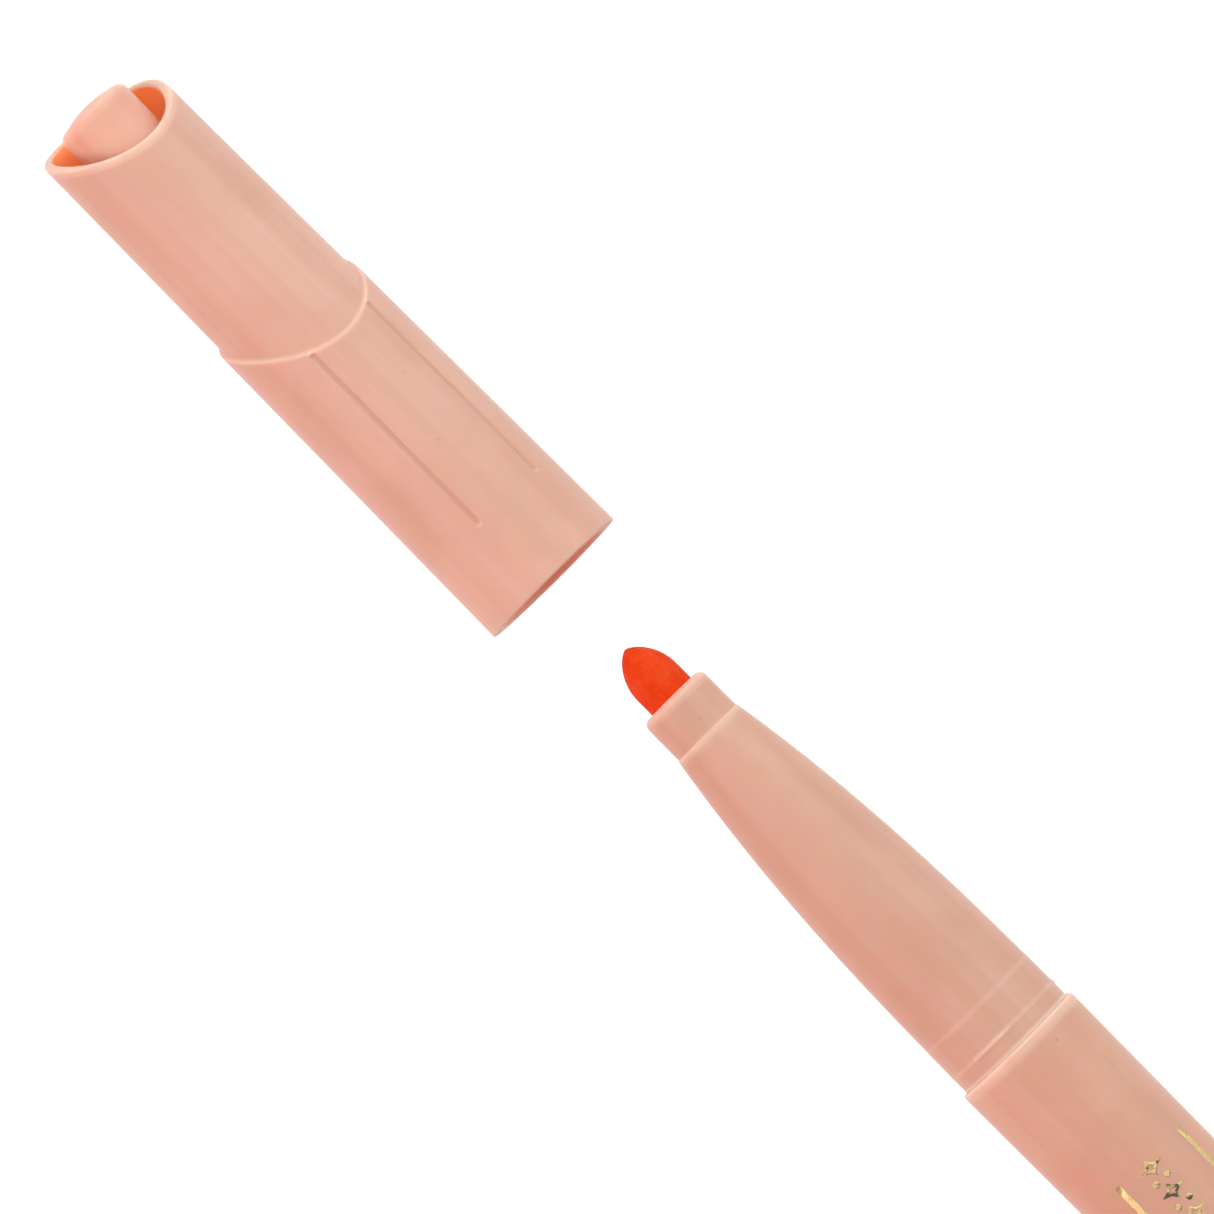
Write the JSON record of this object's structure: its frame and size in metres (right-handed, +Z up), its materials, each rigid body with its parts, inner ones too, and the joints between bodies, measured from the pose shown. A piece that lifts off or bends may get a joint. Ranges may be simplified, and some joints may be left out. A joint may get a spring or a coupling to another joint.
{
  "type": "highlighter",
  "caption": "Slim round highlighter with a long ogive grip, a bullet nib and a slide-on cap with a slanted, vented open top, lying uncapped.",
  "frame": {"origin": "middle of the bounding box's bottom: under the pen's axis, on the surface it lies on", "axes": "+X from the tail towards the nib and the cap, along the pen's axis; +Z up from the surface it lies on"},
  "size_m": [0.1886, 0.013, 0.013],
  "materials": {
    "body_plastic": "satin",
    "liner_plastic": "satin",
    "nib_felt": "felt, wet with ink",
    "inked_fibre": "bonded fibre",
    "clear_film": "clear film",
    "gold_foil": "hot-stamped satin foil"
  },
  "bodies": {
    "pen": {"barrel": "body_plastic", "front_section": "body_plastic", "nib": "nib_felt", "ink_core": "inked_fibre", "core_sleeve": "clear_film"},
    "cap": {"cap_shell": "body_plastic", "cap_liner": "liner_plastic"}
  },
  "joints": [
    {"name": "cap_slide", "type": "slide", "parent": "pen", "child": "cap", "axis": [-1, 0, 0], "range_m": [0, 0.05064]}
  ]
}
